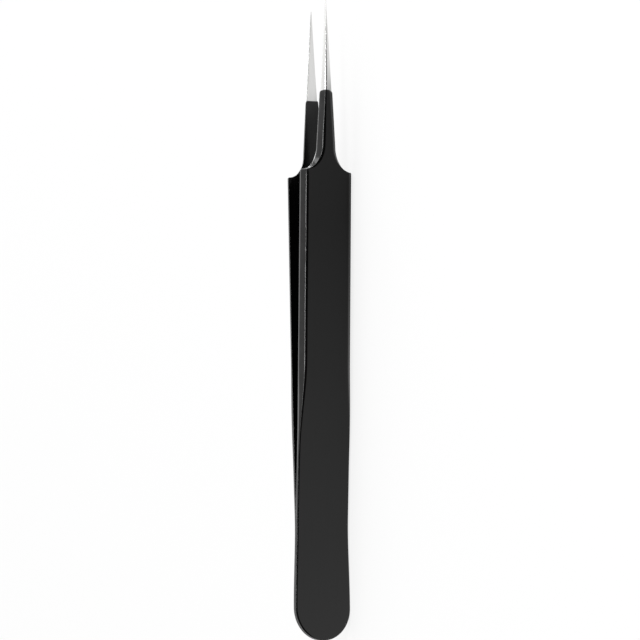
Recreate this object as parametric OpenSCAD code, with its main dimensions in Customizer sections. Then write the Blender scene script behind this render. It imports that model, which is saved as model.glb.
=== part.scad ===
// Fine-point tweezers lying on their long edges.
// Two spring-steel arms are welded face to face at the heel, coated, and left bare at the points.
// Stations run from the heel end (0) to the points (length).

/* [Overall] */
// Overall length from the heel end to the points
length = 110; // [100:1:125]
// Opening between the points at rest
tip_gap = 7.2; // [5:0.1:9]

/* [Heel] */
// Steel width across the rounded heel
heel_w = 9.44; // [7:0.02:12]
// Length of the rounded heel end
heel_l = 5.3; // [4:0.1:7]
// Small flat on the very end of the heel
heel_flat = 1.0; // [0.6:0.1:2]
// Station where the two arms stop lying face to face
weld_end = 16; // [14.5:0.5:19]
// Station of the flex line, where the coated arms part
flex_at = 21.5; // [20:0.5:28]
// Weld nugget diameter
weld_d = 2.4; // [1.5:0.1:4]
// Depth of a nugget in each arm
weld_depth = 0.25; // [0.1:0.05:0.4]
// Station of the first nugget
weld_first = 4.5; // [3:0.5:6]
// Distance between nuggets
weld_pitch = 4; // [3:0.5:4.5]
// Number of nuggets
weld_count = 3; // [1:1:3]

/* [Arms] */
// Steel width at the waist
waist_w = 8.88; // [7:0.02:12]
// Station of the waist
waist_at = 20; // [16:0.5:26]
// Steel width along the grip
grip_w = 8.9; // [7:0.1:12]
// Steel thickness at the heel and in the spring zone
spring_t = 0.45; // [0.35:0.05:0.9]
// Steel thickness along the grip
grip_t = 1.2; // [0.9:0.05:2]
// Station where the arm starts to thicken
ramp_at = 28; // [26:0.5:38]
// Station where the straight grip starts
grip_at = 45; // [40:0.5:52]
// Station of the shoulder
shoulder_at = 79.6; // [70:0.2:84]
// Opening between the steel arms where the grip starts
grip_gap = 3.24; // [2.5:0.02:5]
// Opening between the steel arms at the shoulder
shoulder_gap = 6.06; // [5:0.02:8]
// Steepness of the spring bow at the flex line, over its mean slope
spring_bow = 1.25; // [1:0.05:1.6]

/* [Shank and points] */
// Length of the shoulder fillet along the arm
fillet_l = 4.6; // [2:0.1:6]
// Steel width where the fillet runs out
shank_w = 3.0; // [2.2:0.1:4.5]
// Width of a point
tip_w = 0.12; // [0.06:0.02:0.6]
// Thickness of a point
tip_t = 0.12; // [0.06:0.02:0.6]
// Length of bare steel at the points
bare_tip = 16.1; // [10:0.1:20]

/* [Bevels] */
// Width of the long outer bevels on the grip and shank
grip_bevel = 0.74; // [0.3:0.01:1.2]
// Width of the small outer bevels at the heel and in the spring zone
spring_bevel = 0.1; // [0.05:0.05:0.4]
// Station where the bevels start to widen
bevel_from = 32; // [29:0.5:40]
// Station where the bevels reach their full width
bevel_full = 47; // [42:0.5:54]
// Largest share of the half width that a bevel takes
bevel_share = 0.75; // [0.4:0.05:0.85]
// Share of the thickness that stays square below a grip bevel
land_share = 0.25; // [0.2:0.05:0.6]
// Share of the thickness that stays square below a spring bevel
spring_land = 0.8; // [0.3:0.05:0.9]

/* [Coating] */
// Thickness of the coating
coat = 0.14; // [0.1:0.02:0.3]
// Clear gap between the coated arms at the flex line
crotch = 0.1; // [0.06:0.02:0.3]

/* [Hidden] */
$fn = 48;

// Points in every cross-section ring
ring_n = 6;
// Ring counts along each zone of the arm
arc_steps = 12;
waist_steps = 8;
spring_steps = 14;
corner_steps = 6;
fillet_steps = 12;
shank_steps = 5;
point_steps = 5;
// Room that lets a nugget into its pocket
weld_fit = 0.02;
// How far a cutter runs past the face it cuts
overcut = 0.5;

// The heel is the widest place, so its coated edge is what the tweezers lie on
arm_half = heel_w / 2 + coat;
heel_centre = (heel_l + coat) * sqrt(1 - pow(heel_flat / (heel_w + 2 * coat), 2));
// The section changes up to here and stays the same along the rest of the grip
bow_end = max(grip_at, bevel_full);
fillet_end = shoulder_at + fillet_l;
coat_end = length - bare_tip;
shank_drop = (grip_w - shank_w) / 2;
flex_gap = coat + crotch / 2;
flex_slope = spring_bow * (grip_gap / 2 - flex_gap) / (grip_at - flex_at);
grip_slope = (shoulder_gap - grip_gap) / 2 / (shoulder_at - grip_at);

// Station, half opening and slope of the inner face of an arm
gap_knots = [
    [weld_end, 0, 0],
    [flex_at, flex_gap, flex_slope],
    [grip_at, grip_gap / 2, grip_slope],
    [shoulder_at, shoulder_gap / 2, grip_slope],
    [length, tip_gap / 2, 0]
];

function clamp01(u) = min(1, max(0, u));
function ease(u) = let (v = clamp01(u)) v * v * (3 - 2 * v);
function mix(a, b, u) = a + (b - a) * u;

// Cubic curve between two knots
function cubic(p, q, s) =
    let (d = q[0] - p[0], u = (s - p[0]) / d, v = 1 - u)
    v * v * (1 + 2 * u) * p[1] + u * v * v * d * p[2] + u * u * (1 + 2 * v) * q[1] - u * u * v * d * q[2];

function knot_before(s) = max([for (i = [0 : len(gap_knots) - 2]) s >= gap_knots[i][0] ? i : 0]);

// Half opening to the inner steel face
function gap(s) =
    s <= weld_end ? 0
    : let (i = knot_before(s)) cubic(gap_knots[i], gap_knots[i + 1], s);

// Steel thickness
function thick(s) =
    s < fillet_end ? mix(spring_t, grip_t, ease((s - ramp_at) / (grip_at - ramp_at)))
    : mix(grip_t, tip_t, (s - fillet_end) / (length - fillet_end));

// Width of the outer bevel, and the share of the thickness below it
function bevelled(s) = ease((s - bevel_from) / (bevel_full - bevel_from));
function bevel(s) = mix(spring_bevel, grip_bevel, bevelled(s));
function land(s) = mix(spring_land, land_share, bevelled(s));

// Half width of the arm between the heel and the grip
function neck(s) =
    s < waist_at ? mix(heel_w, waist_w, ease((s - heel_centre) / (waist_at - heel_centre))) / 2
    : mix(waist_w, grip_w, ease((s - waist_at) / (grip_at - waist_at))) / 2;

function shank(s) = mix(shank_w, tip_w, (s - fillet_end) / (length - fillet_end)) / 2;

// Elliptic fillet from the shoulder into the shank
function fillet(s, c) =
    grip_w / 2 - (shank_drop - c) * sqrt(max(0, 1 - pow((fillet_end - s) / (fillet_l - c), 2)));

// Half width of the outline moved outward by c
function half(s, c) =
    s < heel_centre ? (heel_w / 2 + c) * sqrt(max(0, 1 - pow((heel_centre - s) / (heel_l + c), 2)))
    : s < shoulder_at + c ? neck(s) + c
    : s < fillet_end ? min(grip_w / 2 + c, fillet(s, c))
    : shank(s) + c;

// Cross-section ring grown outward by c, with its inner edge at the given depth
function ring(s, c, inner) =
    let (t = thick(s),
         b = bevel(s),
         land_t = land(s) * t,
         lean = atan2(b, t - land_t),
         side = half(s, c),
         face = max(half(s, c * tan((90 - lean) / 2) - b), (1 - bevel_share) * side),
         land_y = gap(s) + land_t + c * tan(lean / 2),
         face_y = gap(s) + t + c)
    [[s, inner, -side], [s, land_y, -side], [s, face_y, -face],
     [s, face_y, face], [s, land_y, side], [s, inner, side]];

function even(a, b, n) = [for (i = [0 : n - 1]) mix(a, b, i / n)];

// Stations of the heel grown outward by c, starting at station s0
function heel_stations(c, s0) =
    let (a0 = acos((heel_centre - s0) / (heel_l + c)))
    concat([for (a = even(a0, 90, arc_steps)) heel_centre - (heel_l + c) * cos(a)],
           even(heel_centre, flex_at, waist_steps),
           [flex_at]);

// Stations from the flex line to the end of the shoulder fillet
function body_stations(c) =
    concat(even(flex_at, bow_end, spring_steps),
           [bow_end],
           [for (a = even(0, 90, corner_steps)) shoulder_at + c - (grip_bevel + c) * cos(a)],
           [for (a = even(0, 90, fillet_steps)) shoulder_at + c + (fillet_l - c) * (1 - cos(a))]);

function coated_stations() =
    concat(body_stations(coat), even(fillet_end, coat_end, shank_steps), [coat_end]);

function steel_stations() =
    concat(body_stations(0), even(fillet_end, coat_end, shank_steps),
           even(coat_end, length, point_steps), [length]);

function quad(a, b, c, d) = [[a, c, b], [a, d, c]];
function turned(list) = [for (i = [len(list) - 1 : -1 : 0]) list[i]];

// Faces between neighbouring rings
function walls(rings) =
    [for (i = [0 : rings - 2], j = [0 : ring_n - 1])
        let (k = i * ring_n, m = (j + 1) % ring_n)
        each quad(k + j, k + m, k + ring_n + m, k + ring_n + j)];

function cap(base) = [for (j = [0 : ring_n - 1]) base + j];
function flat_list(rings) = [for (r = rings) each r];

// Solid through a row of rings
module loft(rings) {
    last = (len(rings) - 1) * ring_n;
    polyhedron(flat_list(rings),
               concat(walls(len(rings)), [cap(0), turned(cap(last))]));
}

module place() {
    translate([-length / 2, 0, arm_half]) children();
}

module front() {
    mirror([0, 1, 0]) children();
}

module weld_spots(extra) {
    for (i = [0 : weld_count - 1])
        translate([weld_first + i * weld_pitch, 0, 0])
            rotate([90, 0, 0])
                cylinder(d = weld_d + extra, h = 2 * weld_depth + extra, center = true);
}

// Steel of the heel; past drives it through the coating's flat faces when it is used as a cutter
module heel_steel(past) {
    stations = heel_stations(0, coat);
    loft([for (s = past > 0 ? concat(stations, [flex_at + past]) : stations) ring(s, 0, gap(s) - past)]);
}

// Steel of the arm; past starts it behind the flex line when it is used as a cutter
module arm_steel(past) {
    stations = steel_stations();
    loft([for (s = past > 0 ? concat([flex_at - past], stations) : stations) ring(s, 0, gap(s))]);
}

module heel_core() {
    difference() {
        heel_steel(0);
        weld_spots(weld_fit);
    }
}

module heel_coat() {
    difference() {
        loft([for (s = heel_stations(coat, 0)) ring(s, coat, 0)]);
        heel_steel(overcut);
    }
}

module arm_coat() {
    difference() {
        loft([for (s = coated_stations()) ring(s, coat, gap(s) - coat)]);
        arm_steel(overcut);
    }
}

// Welded rear end of the front arm
module front_heel() {
    color("silver") place() front() heel_core();
}

// Welded rear end of the back arm
module back_heel() {
    color("silver") place() heel_core();
}

// Spot-weld nuggets that hold the two arms together
module heel_welds() {
    color("dimgray") place() weld_spots(0);
}

// Epoxy over the outside of the front heel
module front_heel_coating() {
    color([0.12, 0.12, 0.12]) place() front() heel_coat();
}

// Epoxy over the outside of the back heel
module back_heel_coating() {
    color([0.12, 0.12, 0.12]) place() heel_coat();
}

// Front spring arm with its fine point
module front_arm() {
    color("silver") place() front() arm_steel(0);
}

// Back spring arm with its fine point
module back_arm() {
    color("silver") place() arm_steel(0);
}

// Epoxy sleeve of the front arm
module front_arm_coating() {
    color([0.12, 0.12, 0.12]) place() front() arm_coat();
}

// Epoxy sleeve of the back arm
module back_arm_coating() {
    color([0.12, 0.12, 0.12]) place() arm_coat();
}

front_heel();
back_heel();
heel_welds();
front_heel_coating();
back_heel_coating();
front_arm();
back_arm();
front_arm_coating();
back_arm_coating();
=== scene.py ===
import math

import bmesh
import bpy
from mathutils import Matrix, Vector


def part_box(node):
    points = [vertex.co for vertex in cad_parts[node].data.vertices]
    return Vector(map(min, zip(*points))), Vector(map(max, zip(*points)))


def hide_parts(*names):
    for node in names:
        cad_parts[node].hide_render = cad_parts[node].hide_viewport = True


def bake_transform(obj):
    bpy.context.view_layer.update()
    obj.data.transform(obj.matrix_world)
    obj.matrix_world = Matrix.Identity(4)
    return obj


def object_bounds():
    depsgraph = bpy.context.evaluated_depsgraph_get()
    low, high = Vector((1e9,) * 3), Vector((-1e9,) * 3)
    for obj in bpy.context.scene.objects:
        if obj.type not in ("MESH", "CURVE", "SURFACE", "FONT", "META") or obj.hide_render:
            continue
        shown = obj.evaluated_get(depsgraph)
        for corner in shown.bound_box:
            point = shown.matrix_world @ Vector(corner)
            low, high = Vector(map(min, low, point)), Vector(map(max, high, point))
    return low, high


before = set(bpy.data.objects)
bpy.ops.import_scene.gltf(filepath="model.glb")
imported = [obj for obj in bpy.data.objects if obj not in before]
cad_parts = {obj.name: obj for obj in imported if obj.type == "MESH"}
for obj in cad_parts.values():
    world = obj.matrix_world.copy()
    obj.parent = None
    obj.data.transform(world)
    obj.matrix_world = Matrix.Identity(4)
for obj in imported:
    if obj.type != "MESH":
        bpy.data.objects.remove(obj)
cad_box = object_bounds()

MM = 0.001

# Places read from the frame, in millimetres along the arm from the heel end
heel_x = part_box("front_heel_coating")[0].x / MM
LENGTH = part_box("front_arm")[1].x / MM - heel_x
FLEX_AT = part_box("front_arm")[0].x / MM - heel_x
COAT_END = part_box("front_arm_coating")[1].x / MM - heel_x
FLOOR_Z = cad_box[0].z
MID_Z = (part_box("front_arm")[0].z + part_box("front_arm")[1].z) / 2

# Sizes of the arms in millimetres, as in the part's source
COAT = 0.14
CROTCH = 0.1
HEEL_W = 9.44
HEEL_L = 5.3
HEEL_FLAT = 1.0
WELD_END = 16.0
WAIST_W = 8.88
WAIST_AT = 20.0
GRIP_W = 8.9
SPRING_T = 0.45
GRIP_T = 1.2
RAMP_AT = 28.0
GRIP_AT = 45.0
SHOULDER_AT = 79.6
GRIP_GAP = 3.24
SHOULDER_GAP = 6.06
TIP_GAP = 7.2
SPRING_BOW = 1.25
FILLET_L = 4.6
SHANK_W = 3.0
TIP_W = 0.12
TIP_T = 0.12
GRIP_BEVEL = 0.74
SPRING_BEVEL = 0.1
BEVEL_FROM = 32.0
BEVEL_FULL = 47.0
BEVEL_SHARE = 0.75
LAND_SHARE = 0.25
SPRING_LAND = 0.8

HEEL_CENTRE = (HEEL_L + COAT) * math.sqrt(1 - (HEEL_FLAT / (HEEL_W + 2 * COAT)) ** 2)
FILLET_END = SHOULDER_AT + FILLET_L
SHANK_DROP = (GRIP_W - SHANK_W) / 2
FLEX_GAP = COAT + CROTCH / 2
FLEX_SLOPE = SPRING_BOW * (GRIP_GAP / 2 - FLEX_GAP) / (GRIP_AT - FLEX_AT)
GRIP_SLOPE = (SHOULDER_GAP - GRIP_GAP) / 2 / (SHOULDER_AT - GRIP_AT)
GAP_KNOTS = [
    (WELD_END, 0.0, 0.0),
    (FLEX_AT, FLEX_GAP, FLEX_SLOPE),
    (GRIP_AT, GRIP_GAP / 2, GRIP_SLOPE),
    (SHOULDER_AT, SHOULDER_GAP / 2, GRIP_SLOPE),
    (LENGTH, TIP_GAP / 2, 0.0),
]

# Rounding of the edges in millimetres, in the spring zone and on the grip
INNER_CROWN_R = (0.2, 0.1)
INNER_EDGE_R = (0.12, 0.05)
RIDGE_R = (0.12, 0.004)
SHANK_RIDGE_R = 0.55
# The same for edges that the paint swells, without the paint
LAND_EDGE_R = (0.05, 0.02)
CROWN_R = (0.5, 1.2)
# Angle that a face's crown turns through, and the largest crowns that narrow sections have room for
CROWN_TURN = math.radians(30.0)
CROWN_REACH = 1.9
INNER_CROWN_LANDS = 2.0
INNER_CROWN_SIDES = 1.5
# Rounding of the shoulder's corner in the outline, and of the inner edge along its wall
SHOULDER_R = 0.1
SHOULDER_LEAST_R = 0.05
SHOULDER_EDGE_R = 0.2
# Share of its width that the bevel keeps at the shoulder's wall, and the share of the fillet it widens over
SHOULDER_BEVEL = 0.4
SHOULDER_BEVEL_RUN = 0.8

# The paint's front edge: a rounded lip that stops a little short along the lower edge
LIP_L = 0.3
LIP_RUN = 3.0
LIP_BACK_LOW = 0.8
LIP_BACK_HIGH = 0.2
LIP_BACK_FROM = 0.6
LIP_WAVE = 0.05
LIP_WAVES = 3.0
# Room between the two painted heels, and between the paint and the steel under it
SEAM = 0.003
CAVITY = 0.01

# Points on each rounded stretch of a section
INNER_CROWN_STEPS = 5
INNER_EDGE_STEPS = 5
LAND_EDGE_STEPS = 4
RIDGE_STEPS = 4
CROWN_STEPS = 7
# How much the rows of those stretches are rubbed smooth by handling
ROW_POLISH = (
    [0.0] * INNER_CROWN_STEPS + [1.0] * INNER_EDGE_STEPS + [0.85] * LAND_EDGE_STEPS
    + [0.75] * RIDGE_STEPS + [0.3] * (CROWN_STEPS - 1) + [0.0]
)
# Rings on each stretch of the paint's outside, of its hollow and of the steel
OUTSIDE_RINGS = {"heel": 24, "neck": 76, "corner": 8, "fillet": 24, "shank": 8}
HOLLOW_RINGS = {"heel": 12, "neck": 38, "corner": 6, "fillet": 20, "shank": 6}
BLADE_RINGS = {"neck": 40, "corner": 6, "fillet": 20, "shank": 6}
# Rings on the run up to the paint's lip, round the lip, and along the bare point
LIP_RUN_RINGS = 8
LIP_RINGS = 8
POINT_RINGS = 30
# Corners closer than this, in metres, are one
MERGE_WITHIN = 1e-9


def clamp01(u):
    return min(1.0, max(0.0, u))


def ease(u):
    v = clamp01(u)
    return v * v * (3 - 2 * v)


def mix(a, b, u):
    return a + (b - a) * u


def even(a, b, count):
    return [mix(a, b, k / count) for k in range(count)]


def gap(s):
    """Half opening to the inner steel face at station s."""
    if s <= WELD_END:
        return 0.0
    i = max(k for k in range(len(GAP_KNOTS) - 1) if s >= GAP_KNOTS[k][0])
    (s0, g0, m0), (s1, g1, m1) = GAP_KNOTS[i], GAP_KNOTS[i + 1]
    d = s1 - s0
    u = (s - s0) / d
    v = 1 - u
    return v * v * (1 + 2 * u) * g0 + u * v * v * d * m0 + u * u * (1 + 2 * v) * g1 - u * u * v * d * m1


def thick(s):
    """Steel thickness at station s."""
    if s < FILLET_END:
        return mix(SPRING_T, GRIP_T, ease((s - RAMP_AT) / (GRIP_AT - RAMP_AT)))
    return mix(GRIP_T, TIP_T, (s - FILLET_END) / (LENGTH - FILLET_END))


def bevelled(s):
    """How far the section has turned from the square spring into the bevelled grip."""
    return ease((s - BEVEL_FROM) / (BEVEL_FULL - BEVEL_FROM))


def neck(s):
    """Half width of the steel between the heel and the shoulder."""
    if s < WAIST_AT:
        return mix(HEEL_W, WAIST_W, ease((s - HEEL_CENTRE) / (WAIST_AT - HEEL_CENTRE))) / 2
    return mix(WAIST_W, GRIP_W, ease((s - WAIST_AT) / (GRIP_AT - WAIST_AT))) / 2


def shank(s):
    """Half width of the steel between the fillet and the point."""
    return mix(SHANK_W, TIP_W, (s - FILLET_END) / (LENGTH - FILLET_END)) / 2


def outline_point(place, grow):
    """Station and half width of a place on the arm's outline, moved outward by grow."""
    zone, u = place
    if zone == "heel":
        return HEEL_CENTRE - (HEEL_L + grow) * math.cos(u), (HEEL_W / 2 + grow) * math.sin(u)
    if zone == "neck":
        return u, neck(u) + grow
    if zone == "shank":
        return u, shank(u) + grow
    corner_r = max(SHOULDER_LEAST_R, SHOULDER_R + grow)
    drop = SHANK_DROP - grow
    first = math.asin(clamp01((corner_r - grow) / drop))
    wall = FILLET_END - (FILLET_L - grow) * math.cos(first)
    if zone == "corner":
        top = GRIP_W / 2 + grow
        return wall - corner_r * (1 - math.sin(u)), top - corner_r * (1 - math.cos(u))
    turn = mix(first, math.pi / 2, u)
    return FILLET_END - (FILLET_L - grow) * math.cos(turn), GRIP_W / 2 - drop * math.sin(turn)


def walled(place):
    """How far a place belongs to the shoulder's steep wall."""
    zone, u = place
    if zone == "corner":
        return ease(u / (math.pi / 2))
    if zone == "fillet":
        return 1 - ease(u / SHOULDER_BEVEL_RUN)
    return 0.0


def rounded(start, end, arcs):
    """Points of an edge rounded by arcs, between two lines given as (angle of the normal, distance)."""
    def normal(angle):
        return Vector((-math.cos(angle), math.sin(angle)))

    centre = Vector((0.0, 0.0))
    points = []
    for radius, a0, a1, steps in arcs:
        if points:
            centre += (last_radius - radius) * normal(a0)
        first = 1 if points else 0
        count = steps - 1 + first
        for k in range(first, count + 1):
            points.append(centre + radius * normal(mix(a0, a1, k / count)))
        last_radius = radius
    n0, n1 = normal(start[0]), normal(end[0])
    e0 = start[1] - n0.dot(points[0])
    e1 = end[1] - n1.dot(points[-1])
    det = n0.x * n1.y - n0.y * n1.x
    shift = Vector(((e0 * n1.y - e1 * n0.y) / det, (n0.x * e1 - n1.x * e0) / det))
    return [p + shift for p in points]


def section(place, coat, seam):
    """Edge of the arm's section at a place: distance in from the outline, height over the inner face."""
    s = outline_point(place, coat)[0]
    grip = bevelled(s)
    t = thick(s)
    b = mix(SPRING_BEVEL, GRIP_BEVEL, grip)
    land_t = mix(SPRING_LAND, LAND_SHARE, grip) * t
    lean = math.atan2(b, t - land_t)
    side = (shank(s) if s > FILLET_END else neck(max(s, HEEL_CENTRE))) + coat
    across = min(b + coat * (1 - math.tan((math.pi / 2 - lean) / 2)), BEVEL_SHARE * side)
    if place[0] == "fillet":
        across *= mix(1.0, SHOULDER_BEVEL, walled(place))
    land = land_t + coat * math.tan(lean / 2)
    top = t + coat
    inner = max(seam, gap(s) - coat) - gap(s)
    slope = math.atan2(across, top - land)
    bevel_l = math.hypot(across, top - land)
    half_pi = math.pi / 2
    crown_from = half_pi - CROWN_TURN
    edge_room = land - inner
    inner_edge_r = min(mix(mix(*INNER_EDGE_R, grip), SHOULDER_EDGE_R, walled(place)), edge_room / 2)
    inner_crown_r = min(mix(*INNER_CROWN_R, grip), INNER_CROWN_LANDS * edge_room, INNER_CROWN_SIDES * side)
    land_edge_r = min(mix(*LAND_EDGE_R, grip) + coat, edge_room / 2, bevel_l / 2)
    ridge_r = mix(mix(*RIDGE_R, grip), SHANK_RIDGE_R, ease((s - SHOULDER_AT) / FILLET_L))
    ridge_r = min(ridge_r, bevel_l / 2)
    crown_r = min(mix(*CROWN_R, grip) + coat, CROWN_REACH * (side - across))
    bevel_line = (slope, math.sin(slope) * land)
    return (
        rounded((-half_pi, -inner), (0.0, 0.0),
                [(inner_crown_r, -half_pi, -crown_from, INNER_CROWN_STEPS),
                 (inner_edge_r, -crown_from, 0.0, INNER_EDGE_STEPS)])
        + rounded((0.0, 0.0), bevel_line, [(land_edge_r, 0.0, slope, LAND_EDGE_STEPS)])
        + rounded(bevel_line, (half_pi, top),
                  [(ridge_r, slope, crown_from, RIDGE_STEPS),
                   (crown_r, crown_from, half_pi, CROWN_STEPS)])
    )


def ring(place, coat, seam):
    """Closed loop of points around the front arm at a place on its outline, in metres."""
    upper = []
    corner, wall = ("corner", math.pi / 2), ("fillet", 0.0)
    rows = zip(section(place, coat, seam), section(corner, coat, seam), section(wall, coat, seam))
    for (inward, height), (wide, _), (slim, _) in rows:
        s, z = outline_point(place, coat - inward)
        if place[0] == "corner":
            s = outline_point(place, coat - slim)[0]
        if place[0] == "fillet":
            z = min(z, outline_point(corner, coat - wide)[1])
        upper.append((s, gap(s) + height, z))
    loop = upper + [(s, y, -z) for s, y, z in reversed(upper)]
    return [Vector(((s + heel_x) * MM, -y * MM, MID_Z + z * MM)) for s, y, z in loop]


def lip_ring(s, coat):
    """Loop around the paint near its front edge, each point drawn back as the edge runs."""
    level = ring(("shank", s), coat, SEAM)
    run = ease((s - COAT_END + LIP_RUN) / LIP_RUN)
    width = shank(s) + coat
    loop = []
    for k, point in enumerate(level):
        z = (point.z - MID_Z) / MM / width
        outer = clamp01((-point.y / MM - gap(s)) / thick(s))
        low = LIP_BACK_LOW * outer * clamp01((-z - LIP_BACK_FROM) / (1 - LIP_BACK_FROM)) ** 2
        high = LIP_BACK_HIGH * clamp01((z - LIP_BACK_FROM) / (1 - LIP_BACK_FROM)) ** 2
        wave = LIP_WAVE * math.sin(LIP_WAVES * z + point.y / MM)
        loop.append(ring(("shank", s - run * (low + high + wave)), coat, SEAM)[k])
    return loop


def places(rings, start):
    """Places on the outline up to the run of the paint's lip, with a number of rings for each stretch."""
    stretches = (
        ("heel", 0.0, math.pi / 2),
        ("neck", start, SHOULDER_AT - SHOULDER_R - COAT),
        ("corner", 0.0, math.pi / 2),
        ("fillet", 0.0, 1.0),
        ("shank", FILLET_END, COAT_END - LIP_RUN),
    )
    return [(zone, u) for zone, a, b in stretches for u in even(a, b, rings.get(zone, 0))]


def start_clean():
    if bpy.context.object and bpy.context.object.mode != "OBJECT":
        bpy.ops.object.mode_set(mode="OBJECT")
    bpy.ops.object.select_all(action="DESELECT")


def loft(name, rings):
    """A sheet is added, and each of its rows is rolled up into a ring and drawn out to its section."""
    start_clean()
    count = len(rings)
    around = len(rings[0])
    bpy.ops.mesh.primitive_grid_add(x_subdivisions=around, y_subdivisions=count - 1, size=2.0)
    piece = bpy.context.object
    piece.name = name
    piece.data.name = name
    bpy.ops.object.mode_set(mode="EDIT")
    bm = bmesh.from_edit_mesh(piece.data)
    polish = bm.verts.layers.float.new("polish")
    rows = ROW_POLISH + ROW_POLISH[::-1]
    for vert in bm.verts:
        k = round((vert.co.y + 1) / 2 * (count - 1))
        row = round((vert.co.x + 1) / 2 * around) % around
        vert.co = rings[k][row]
        vert[polish] = rows[row]
    bmesh.update_edit_mesh(piece.data)
    bpy.ops.mesh.select_all(action="SELECT")
    bpy.ops.mesh.remove_doubles(threshold=MERGE_WITHIN)
    bpy.ops.mesh.select_all(action="DESELECT")
    bpy.ops.mesh.select_mode(type="EDGE")
    bpy.ops.mesh.select_non_manifold(extend=False, use_wire=False, use_multi_face=False,
                                     use_non_contiguous=False, use_verts=False)
    bpy.ops.mesh.fill_holes(sides=0)
    bpy.ops.mesh.select_all(action="SELECT")
    bpy.ops.mesh.normals_make_consistent(inside=False)
    bpy.ops.object.mode_set(mode="OBJECT")
    bpy.ops.object.shade_smooth()
    return piece


def apply(piece, kind, **settings):
    """Adds a modifier to the piece and applies it."""
    start_clean()
    bpy.context.view_layer.objects.active = piece
    piece.select_set(True)
    modifier = piece.modifiers.new(kind.title(), kind)
    for key, value in settings.items():
        setattr(modifier, key, value)
    bpy.ops.object.modifier_apply(modifier=modifier.name)


def mirrored_copy(piece, name):
    """Copy of a front piece with its own mesh, turned over to the back arm."""
    start_clean()
    bpy.context.view_layer.objects.active = piece
    piece.select_set(True)
    bpy.ops.object.duplicate()
    copy = bpy.context.object
    copy.name = name
    copy.data.name = name
    bpy.ops.object.mode_set(mode="EDIT")
    bpy.ops.mesh.select_all(action="SELECT")
    bpy.ops.transform.resize(value=(1.0, -1.0, 1.0), center_override=(0.0, 0.0, 0.0))
    bpy.ops.mesh.normals_make_consistent(inside=False)
    bpy.ops.object.mode_set(mode="OBJECT")
    return copy


def sleeve():
    """Paint of the front arm, from the heel to the lip in front, with the hollow that the steel lies in."""
    rings = [ring(place, COAT, SEAM) for place in places(OUTSIDE_RINGS, HEEL_CENTRE)]
    rings += [lip_ring(s, COAT) for s in even(COAT_END - LIP_RUN, COAT_END - LIP_L, LIP_RUN_RINGS)]
    for a in even(0.0, math.pi / 2, LIP_RINGS) + [math.pi / 2]:
        rings.append(lip_ring(COAT_END - LIP_L * (1 - math.sin(a)), mix(CAVITY, COAT, math.cos(a))))
    rings += [ring(place, CAVITY, 2 * SEAM) for place in reversed(places(HOLLOW_RINGS, HEEL_CENTRE))]
    return loft("front_sleeve", rings)


def blade():
    """Steel of the front arm from the flex line to the point."""
    stations = even(COAT_END - LIP_RUN, LENGTH, POINT_RINGS) + [LENGTH]
    outline = places(BLADE_RINGS, FLEX_AT) + [("shank", s) for s in stations]
    return loft("front_blade", [ring(place, 0.0, SEAM) for place in outline])


def linear(hex_colour):
    """Linear colour of an sRGB hex value."""
    channels = [int(hex_colour[i:i + 2], 16) / 255 for i in (1, 3, 5)]
    return [c / 12.92 if c <= 0.04045 else ((c + 0.055) / 1.055) ** 2.4 for c in channels] + [1.0]


def add(tree, kind, inputs=None, **settings):
    """Adds a node with its settings; an input takes a value or another node's output."""
    node = tree.nodes.new(kind)
    for key, value in settings.items():
        setattr(node, key, value)
    for key, value in (inputs or {}).items():
        if isinstance(value, bpy.types.NodeSocket):
            tree.links.new(value, node.inputs[key])
        else:
            node.inputs[key].default_value = value
    return node


def ramp(tree, value, across, result=(0.0, 1.0), smooth=False):
    """Runs from one result to the other while a value goes across a range."""
    node = add(tree, "ShaderNodeMapRange",
               {"Value": value, "From Min": across[0], "From Max": across[1],
                "To Min": result[0], "To Max": result[1]},
               interpolation_type="SMOOTHSTEP" if smooth else "LINEAR")
    return node.outputs["Result"]


def maths(tree, operation, *values):
    return add(tree, "ShaderNodeMath", dict(enumerate(values)), operation=operation).outputs[0]


def noise(tree, place, size, detail):
    grains = add(tree, "ShaderNodeTexNoise", {"Vector": place, "Scale": 1 / size, "Detail": detail})
    return grains.outputs["Fac"]


def lengthwise(tree, place, size):
    """Fine lines along the arms, of a given length and width."""
    length, width = size
    drawn = add(tree, "ShaderNodeMapping", {"Vector": place, "Scale": (1 / length, 1 / width, 1 / width)})
    return noise(tree, drawn.outputs["Vector"], 1.0, LINE_DETAIL)


def relief(tree, height, strength, depth, under=None):
    """Normal of a skin with fine bumps, over another skin's normal where there is one."""
    inputs = {"Height": height, "Strength": strength, "Distance": depth}
    if under is not None:
        inputs["Normal"] = under
    return add(tree, "ShaderNodeBump", inputs).outputs["Normal"]


def new_material(name):
    material = bpy.data.materials.new(name)
    material.use_nodes = True
    material.node_tree.nodes.clear()
    return material, material.node_tree


def surface(tree, inputs):
    """Closes a material's tree with its surface."""
    shader = add(tree, "ShaderNodeBsdfPrincipled", inputs)
    add(tree, "ShaderNodeOutputMaterial", {"Surface": shader.outputs["BSDF"]})


# Part of a noise's values that a roughness runs over, and how finely the lengthwise lines are broken up
NOISE_SPREAD = (0.3, 0.7)
LINE_DETAIL = 3.0

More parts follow.
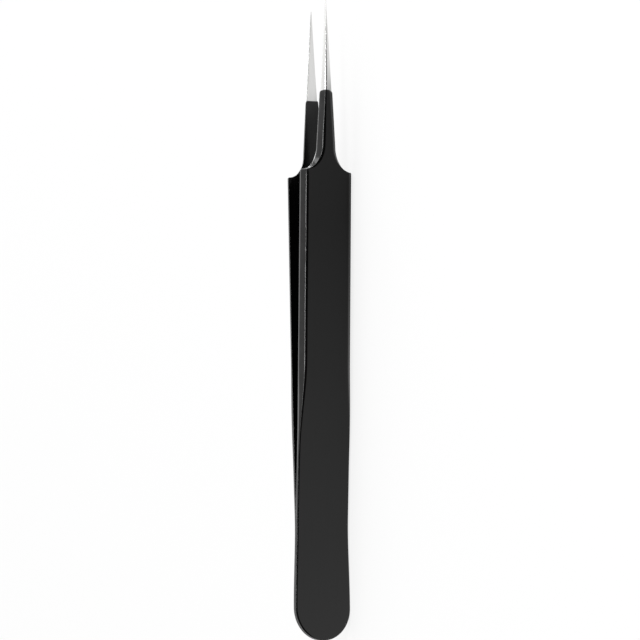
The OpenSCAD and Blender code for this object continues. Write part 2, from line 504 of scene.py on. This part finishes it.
# Epoxy paint, sprayed and baked: deep black with a satin sheen. The skin has a faint orange peel, the
# steel's grinding lines show through it a little, and handling has rubbed its edges smoother and in places
# greyer. The real grinding lines are finer than these; they are drawn wider so that they can be seen.
# A relief is a strength and a depth.
PEEL = 0.7 * MM
PEEL_DETAIL = 2.0
PEEL_RELIEF = (0.05, 0.02 * MM)
EPOXY_LINE = (9.0 * MM, 0.35 * MM)
EPOXY_LINE_RELIEF = (0.1, 0.01 * MM)
EPOXY_ROUGH = (0.14, 0.22)
EPOXY_IOR = 1.45
EPOXY_COLOUR = "#030303"
WORN_COLOUR = "#262626"
WORN_POLISH = (0.7, 1.0)
WORN_ROUGH = -0.03
WEAR_PATCH = 1.5 * MM
WEAR_DETAIL = 3.0
WEAR_SPREAD = (0.4, 0.65)


def satin_black_epoxy():
    material, tree = new_material("satin_black_epoxy")
    place = add(tree, "ShaderNodeTexCoord").outputs["Object"]
    peel = noise(tree, place, PEEL, PEEL_DETAIL)
    lines = lengthwise(tree, place, EPOXY_LINE)
    patches = noise(tree, place, WEAR_PATCH, WEAR_DETAIL)
    polish = add(tree, "ShaderNodeAttribute", attribute_name="polish").outputs["Fac"]
    rubbed = ramp(tree, polish, WORN_POLISH, smooth=True)
    worn = maths(tree, "MULTIPLY", rubbed, ramp(tree, patches, WEAR_SPREAD))
    colour = add(tree, "ShaderNodeMix",
                 {"Factor": worn, "A": linear(EPOXY_COLOUR), "B": linear(WORN_COLOUR)}, data_type="RGBA")
    satin = ramp(tree, lines, NOISE_SPREAD, EPOXY_ROUGH)
    skin = relief(tree, peel, *PEEL_RELIEF)
    surface(tree, {
        "Base Color": colour.outputs["Result"],
        "Roughness": maths(tree, "MULTIPLY_ADD", polish, WORN_ROUGH, satin),
        "IOR": EPOXY_IOR,
        "Normal": relief(tree, lines, *EPOXY_LINE_RELIEF, skin),
    })
    return material


# Stainless spring steel, ground lengthwise and polished: bright, with fine lines that run to the point.
# The real lines are about a tenth as wide; they are drawn wider so that they can be seen.
STEEL_LINE = (6.0 * MM, 0.25 * MM)
STEEL_RELIEF = (0.15, 0.01 * MM)
STEEL_ROUGH = (0.1, 0.2)
STEEL_COLOUR = "#d9d9d8"


def ground_stainless():
    material, tree = new_material("ground_stainless")
    place = add(tree, "ShaderNodeTexCoord").outputs["Object"]
    lines = lengthwise(tree, place, STEEL_LINE)
    surface(tree, {
        "Base Color": linear(STEEL_COLOUR),
        "Metallic": 1.0,
        "Roughness": ramp(tree, lines, NOISE_SPREAD, STEEL_ROUGH),
        "Normal": relief(tree, lines, *STEEL_RELIEF),
    })
    return material


# Weld nuggets, melted and pressed between the arms: dull grey steel with a cast, slightly pitted grain.
WELD_GRAIN = 0.2 * MM
WELD_DETAIL = 4.0
WELD_RELIEF = (0.3, 0.02 * MM)
WELD_ROUGH = (0.4, 0.6)
WELD_COLOUR = "#8f8f92"


def fused_weld():
    material, tree = new_material("fused_weld")
    place = add(tree, "ShaderNodeTexCoord").outputs["Object"]
    grain = noise(tree, place, WELD_GRAIN, WELD_DETAIL)
    surface(tree, {
        "Base Color": linear(WELD_COLOUR),
        "Metallic": 1.0,
        "Roughness": ramp(tree, grain, NOISE_SPREAD, WELD_ROUGH),
        "Normal": relief(tree, grain, *WELD_RELIEF),
    })
    return material


WHITE = "#ffffff"

# Side of the floor in metres, and its paper as the eye sees it and as it is lit and gives light back
FLOOR_SIZE = 6.0
FLOOR_SEEN = "#e6e6e6"
FLOOR_LIT = "#a6a6a6"
# How much of the floor's white is its own to the eye; the rest is lit and shadowed
FLOOR_WHITE_SEEN = 0.8
# Painted shade and painted light in reflections: there the floor's white glow fades towards the points, and
# is full under the points and behind the arms
FLOOR_PAINTED_SHADE_X = (-55.0, 18.0)
FLOOR_PAINTED_SHADE = (1.0, 0.1)
FLOOR_PAINTED_LIGHT_POINTS_X = (38.0, 46.0)
FLOOR_PAINTED_LIGHT_POINTS_Y = (-16.0, -13.5)
FLOOR_PAINTED_LIGHT_BEHIND_Y = (8.0, 12.0)


def studio_floor():
    """Pale matte floor: white to the eye, with the object's shadow kept; in reflections its white glow
    carries a painted shade towards the points and a painted light under the points and behind the arms.
    """
    start_clean()
    bpy.ops.mesh.primitive_plane_add(size=FLOOR_SIZE, location=(0.0, 0.0, FLOOR_Z))
    floor = bpy.context.object
    floor.name = "floor"
    material, tree = new_material("pale_matte_floor")
    seen = add(tree, "ShaderNodeLightPath")
    texture = add(tree, "ShaderNodeTexCoord")
    place = add(tree, "ShaderNodeSeparateXYZ", {"Vector": texture.outputs["Object"]})

    def along(axis, across, result=(0.0, 1.0), smooth=True):
        return ramp(tree, place.outputs[axis], [edge * MM for edge in across], result, smooth)

    # Painted shade: in reflections the floor's white glow fades towards the points
    painted_shade = along("X", FLOOR_PAINTED_SHADE_X, FLOOR_PAINTED_SHADE, smooth=False)
    # Painted light: in reflections the floor glows full white under the points and behind the arms
    under = maths(tree, "MULTIPLY", along("X", FLOOR_PAINTED_LIGHT_POINTS_X), along("Y", FLOOR_PAINTED_LIGHT_POINTS_Y))
    painted_light = maths(tree, "MAXIMUM", under, along("Y", FLOOR_PAINTED_LIGHT_BEHIND_Y))
    mirrored = maths(tree, "MAXIMUM", seen.outputs["Is Glossy Ray"], seen.outputs["Is Transmission Ray"])
    mirrored = maths(tree, "MULTIPLY", mirrored, maths(tree, "MAXIMUM", painted_shade, painted_light))
    share = maths(tree, "MULTIPLY_ADD", seen.outputs["Is Camera Ray"], FLOOR_WHITE_SEEN, mirrored)
    colour = add(tree, "ShaderNodeMix",
                 {"Factor": seen.outputs["Is Camera Ray"], "A": linear(FLOOR_LIT), "B": linear(FLOOR_SEEN)},
                 data_type="RGBA")
    matte = add(tree, "ShaderNodeBsdfDiffuse", {"Color": colour.outputs["Result"]})
    white = add(tree, "ShaderNodeEmission", {"Color": linear(WHITE), "Strength": 1.0})
    mixed = add(tree, "ShaderNodeMixShader",
                {"Fac": share, 1: matte.outputs["BSDF"], 2: white.outputs["Emission"]})
    add(tree, "ShaderNodeOutputMaterial", {"Surface": mixed.outputs["Shader"]})
    floor.data.materials.append(material)


# The room's walls and ceiling, and the dark side that the camera stands on: how far forward and how high
# a direction has to point for the room to be white or dark there
ROOM_LEVEL = 1.05
DARK_LEVEL = 0.02
DARK_FRONT_Y = (-0.1, -0.4)
DARK_BELOW_Z = (0.68, 0.6)


def studio_world():
    """White room that turns dark low on the side the camera stands on."""
    world = bpy.data.worlds.new("studio")
    bpy.context.scene.world = world
    world.use_nodes = True
    tree = world.node_tree
    tree.nodes.clear()
    direction = add(tree, "ShaderNodeTexCoord").outputs["Generated"]
    axes = add(tree, "ShaderNodeSeparateXYZ", {"Vector": direction})
    front = ramp(tree, axes.outputs["Y"], DARK_FRONT_Y, smooth=True)
    low = ramp(tree, axes.outputs["Z"], DARK_BELOW_Z, smooth=True)
    level = ramp(tree, maths(tree, "MULTIPLY", front, low), (0.0, 1.0), (ROOM_LEVEL, DARK_LEVEL))
    room = add(tree, "ShaderNodeBackground", {"Color": linear(WHITE), "Strength": level})
    white = add(tree, "ShaderNodeBackground", {"Color": linear(WHITE), "Strength": 1.0})
    seen = add(tree, "ShaderNodeLightPath")
    mixed = add(tree, "ShaderNodeMixShader",
                {"Fac": seen.outputs["Is Camera Ray"],
                 1: room.outputs["Background"], 2: white.outputs["Background"]})
    add(tree, "ShaderNodeOutputWorld", {"Surface": mixed.outputs["Shader"]})


# Lamps around the object: place, width and height in metres, and brightness
SOFTBOXES = {
    "top_softbox": ((0.2, -0.41, 0.99), 0.7, 0.17, 0.35),
    "back_softbox": ((0.37, 0.86, 0.06), 0.16, 0.18, 3.0),
    "key_softbox": ((0.18, -0.62, 0.63), 0.32, 0.1, 20.0),
    "side_softbox": ((0.47, -0.46, 0.63), 0.24, 0.1, 12.0),
    "end_softbox": ((0.72, 0.08, 0.34), 0.26, 0.6, 3.0),
    "corner_softbox": ((0.62, 0.56, 0.17), 0.12, 0.36, 14.0),
}


def softbox(name, place, width, height, level):
    """Area lamp of a given brightness, turned to the object."""
    lamp = bpy.data.lights.new(name, "AREA")
    lamp.shape = "RECTANGLE"
    lamp.size = width
    lamp.size_y = height
    lamp.energy = level * math.pi * width * height
    box = bpy.data.objects.new(name, lamp)
    bpy.context.scene.collection.objects.link(box)
    box.location = place
    box.rotation_euler = (-Vector(place)).to_track_quat("-Z", "Y").to_euler()


# The camera stands in front of the heel, looks down on the arms and has their length upright in its frame
CAMERA_DOWN = math.radians(20.314)
CAMERA_ALONG = math.radians(11.366)
CAMERA_ROLL = math.radians(0.35)
CAMERA_FAR = 500.0 * MM
CAMERA_LENS = 165.4
CAMERA_SENSOR = 36.0
CAMERA_NEAR = 0.01
FRAME_RIGHT = 0.03 * MM
FRAME_UP = 0.592 * MM


def camera():
    a, t, r = CAMERA_DOWN, CAMERA_ALONG, CAMERA_ROLL
    right = Vector((0.0, -math.sin(a), -math.cos(a)))
    up = Vector((math.cos(t), -math.sin(t) * math.cos(a), math.sin(t) * math.sin(a)))
    ahead = Vector((math.sin(t), math.cos(t) * math.cos(a), -math.cos(t) * math.sin(a)))
    turned_right = right * math.cos(r) - up * math.sin(r)
    turned_up = right * math.sin(r) + up * math.cos(r)
    place = Vector((0.0, 0.0, MID_Z)) - ahead * CAMERA_FAR
    place = place - turned_right * FRAME_RIGHT - turned_up * FRAME_UP
    lens = bpy.data.cameras.new("camera")
    lens.lens = CAMERA_LENS
    lens.sensor_width = CAMERA_SENSOR
    lens.clip_start = CAMERA_NEAR
    view = bpy.data.objects.new("camera", lens)
    bpy.context.scene.collection.objects.link(view)
    turn = Matrix((turned_right, turned_up, -ahead)).transposed()
    view.matrix_world = Matrix.Translation(place) @ turn.to_4x4()
    bpy.context.scene.camera = view


camera()
studio_floor()
studio_world()
for name, lamp in SOFTBOXES.items():
    softbox(name, *lamp)

epoxy = satin_black_epoxy()
stainless = ground_stainless()

front_sleeve = sleeve()
front_blade = blade()
arms = {
    "front": (front_sleeve, front_blade),
    "back": (mirrored_copy(front_sleeve, "back_sleeve"), mirrored_copy(front_blade, "back_blade")),
}
for side, (paint, steel) in arms.items():
    for piece, material, slot in ((paint, epoxy, "epoxy_black"), (steel, stainless, "stainless_steel")):
        apply(piece, "WEIGHTED_NORMAL", keep_sharp=True)
        piece.data.materials.append(material)
        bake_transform(piece)
    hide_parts(side + "_heel_coating", side + "_arm_coating")
    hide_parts(side + "_arm")
for node, material in (("front_heel", stainless), ("back_heel", stainless), ("heel_welds", fused_weld())):
    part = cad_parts[node]
    part.data.materials.clear()
    part.data.materials.append(material)

bpy.context.scene.view_settings.view_transform = "Standard"
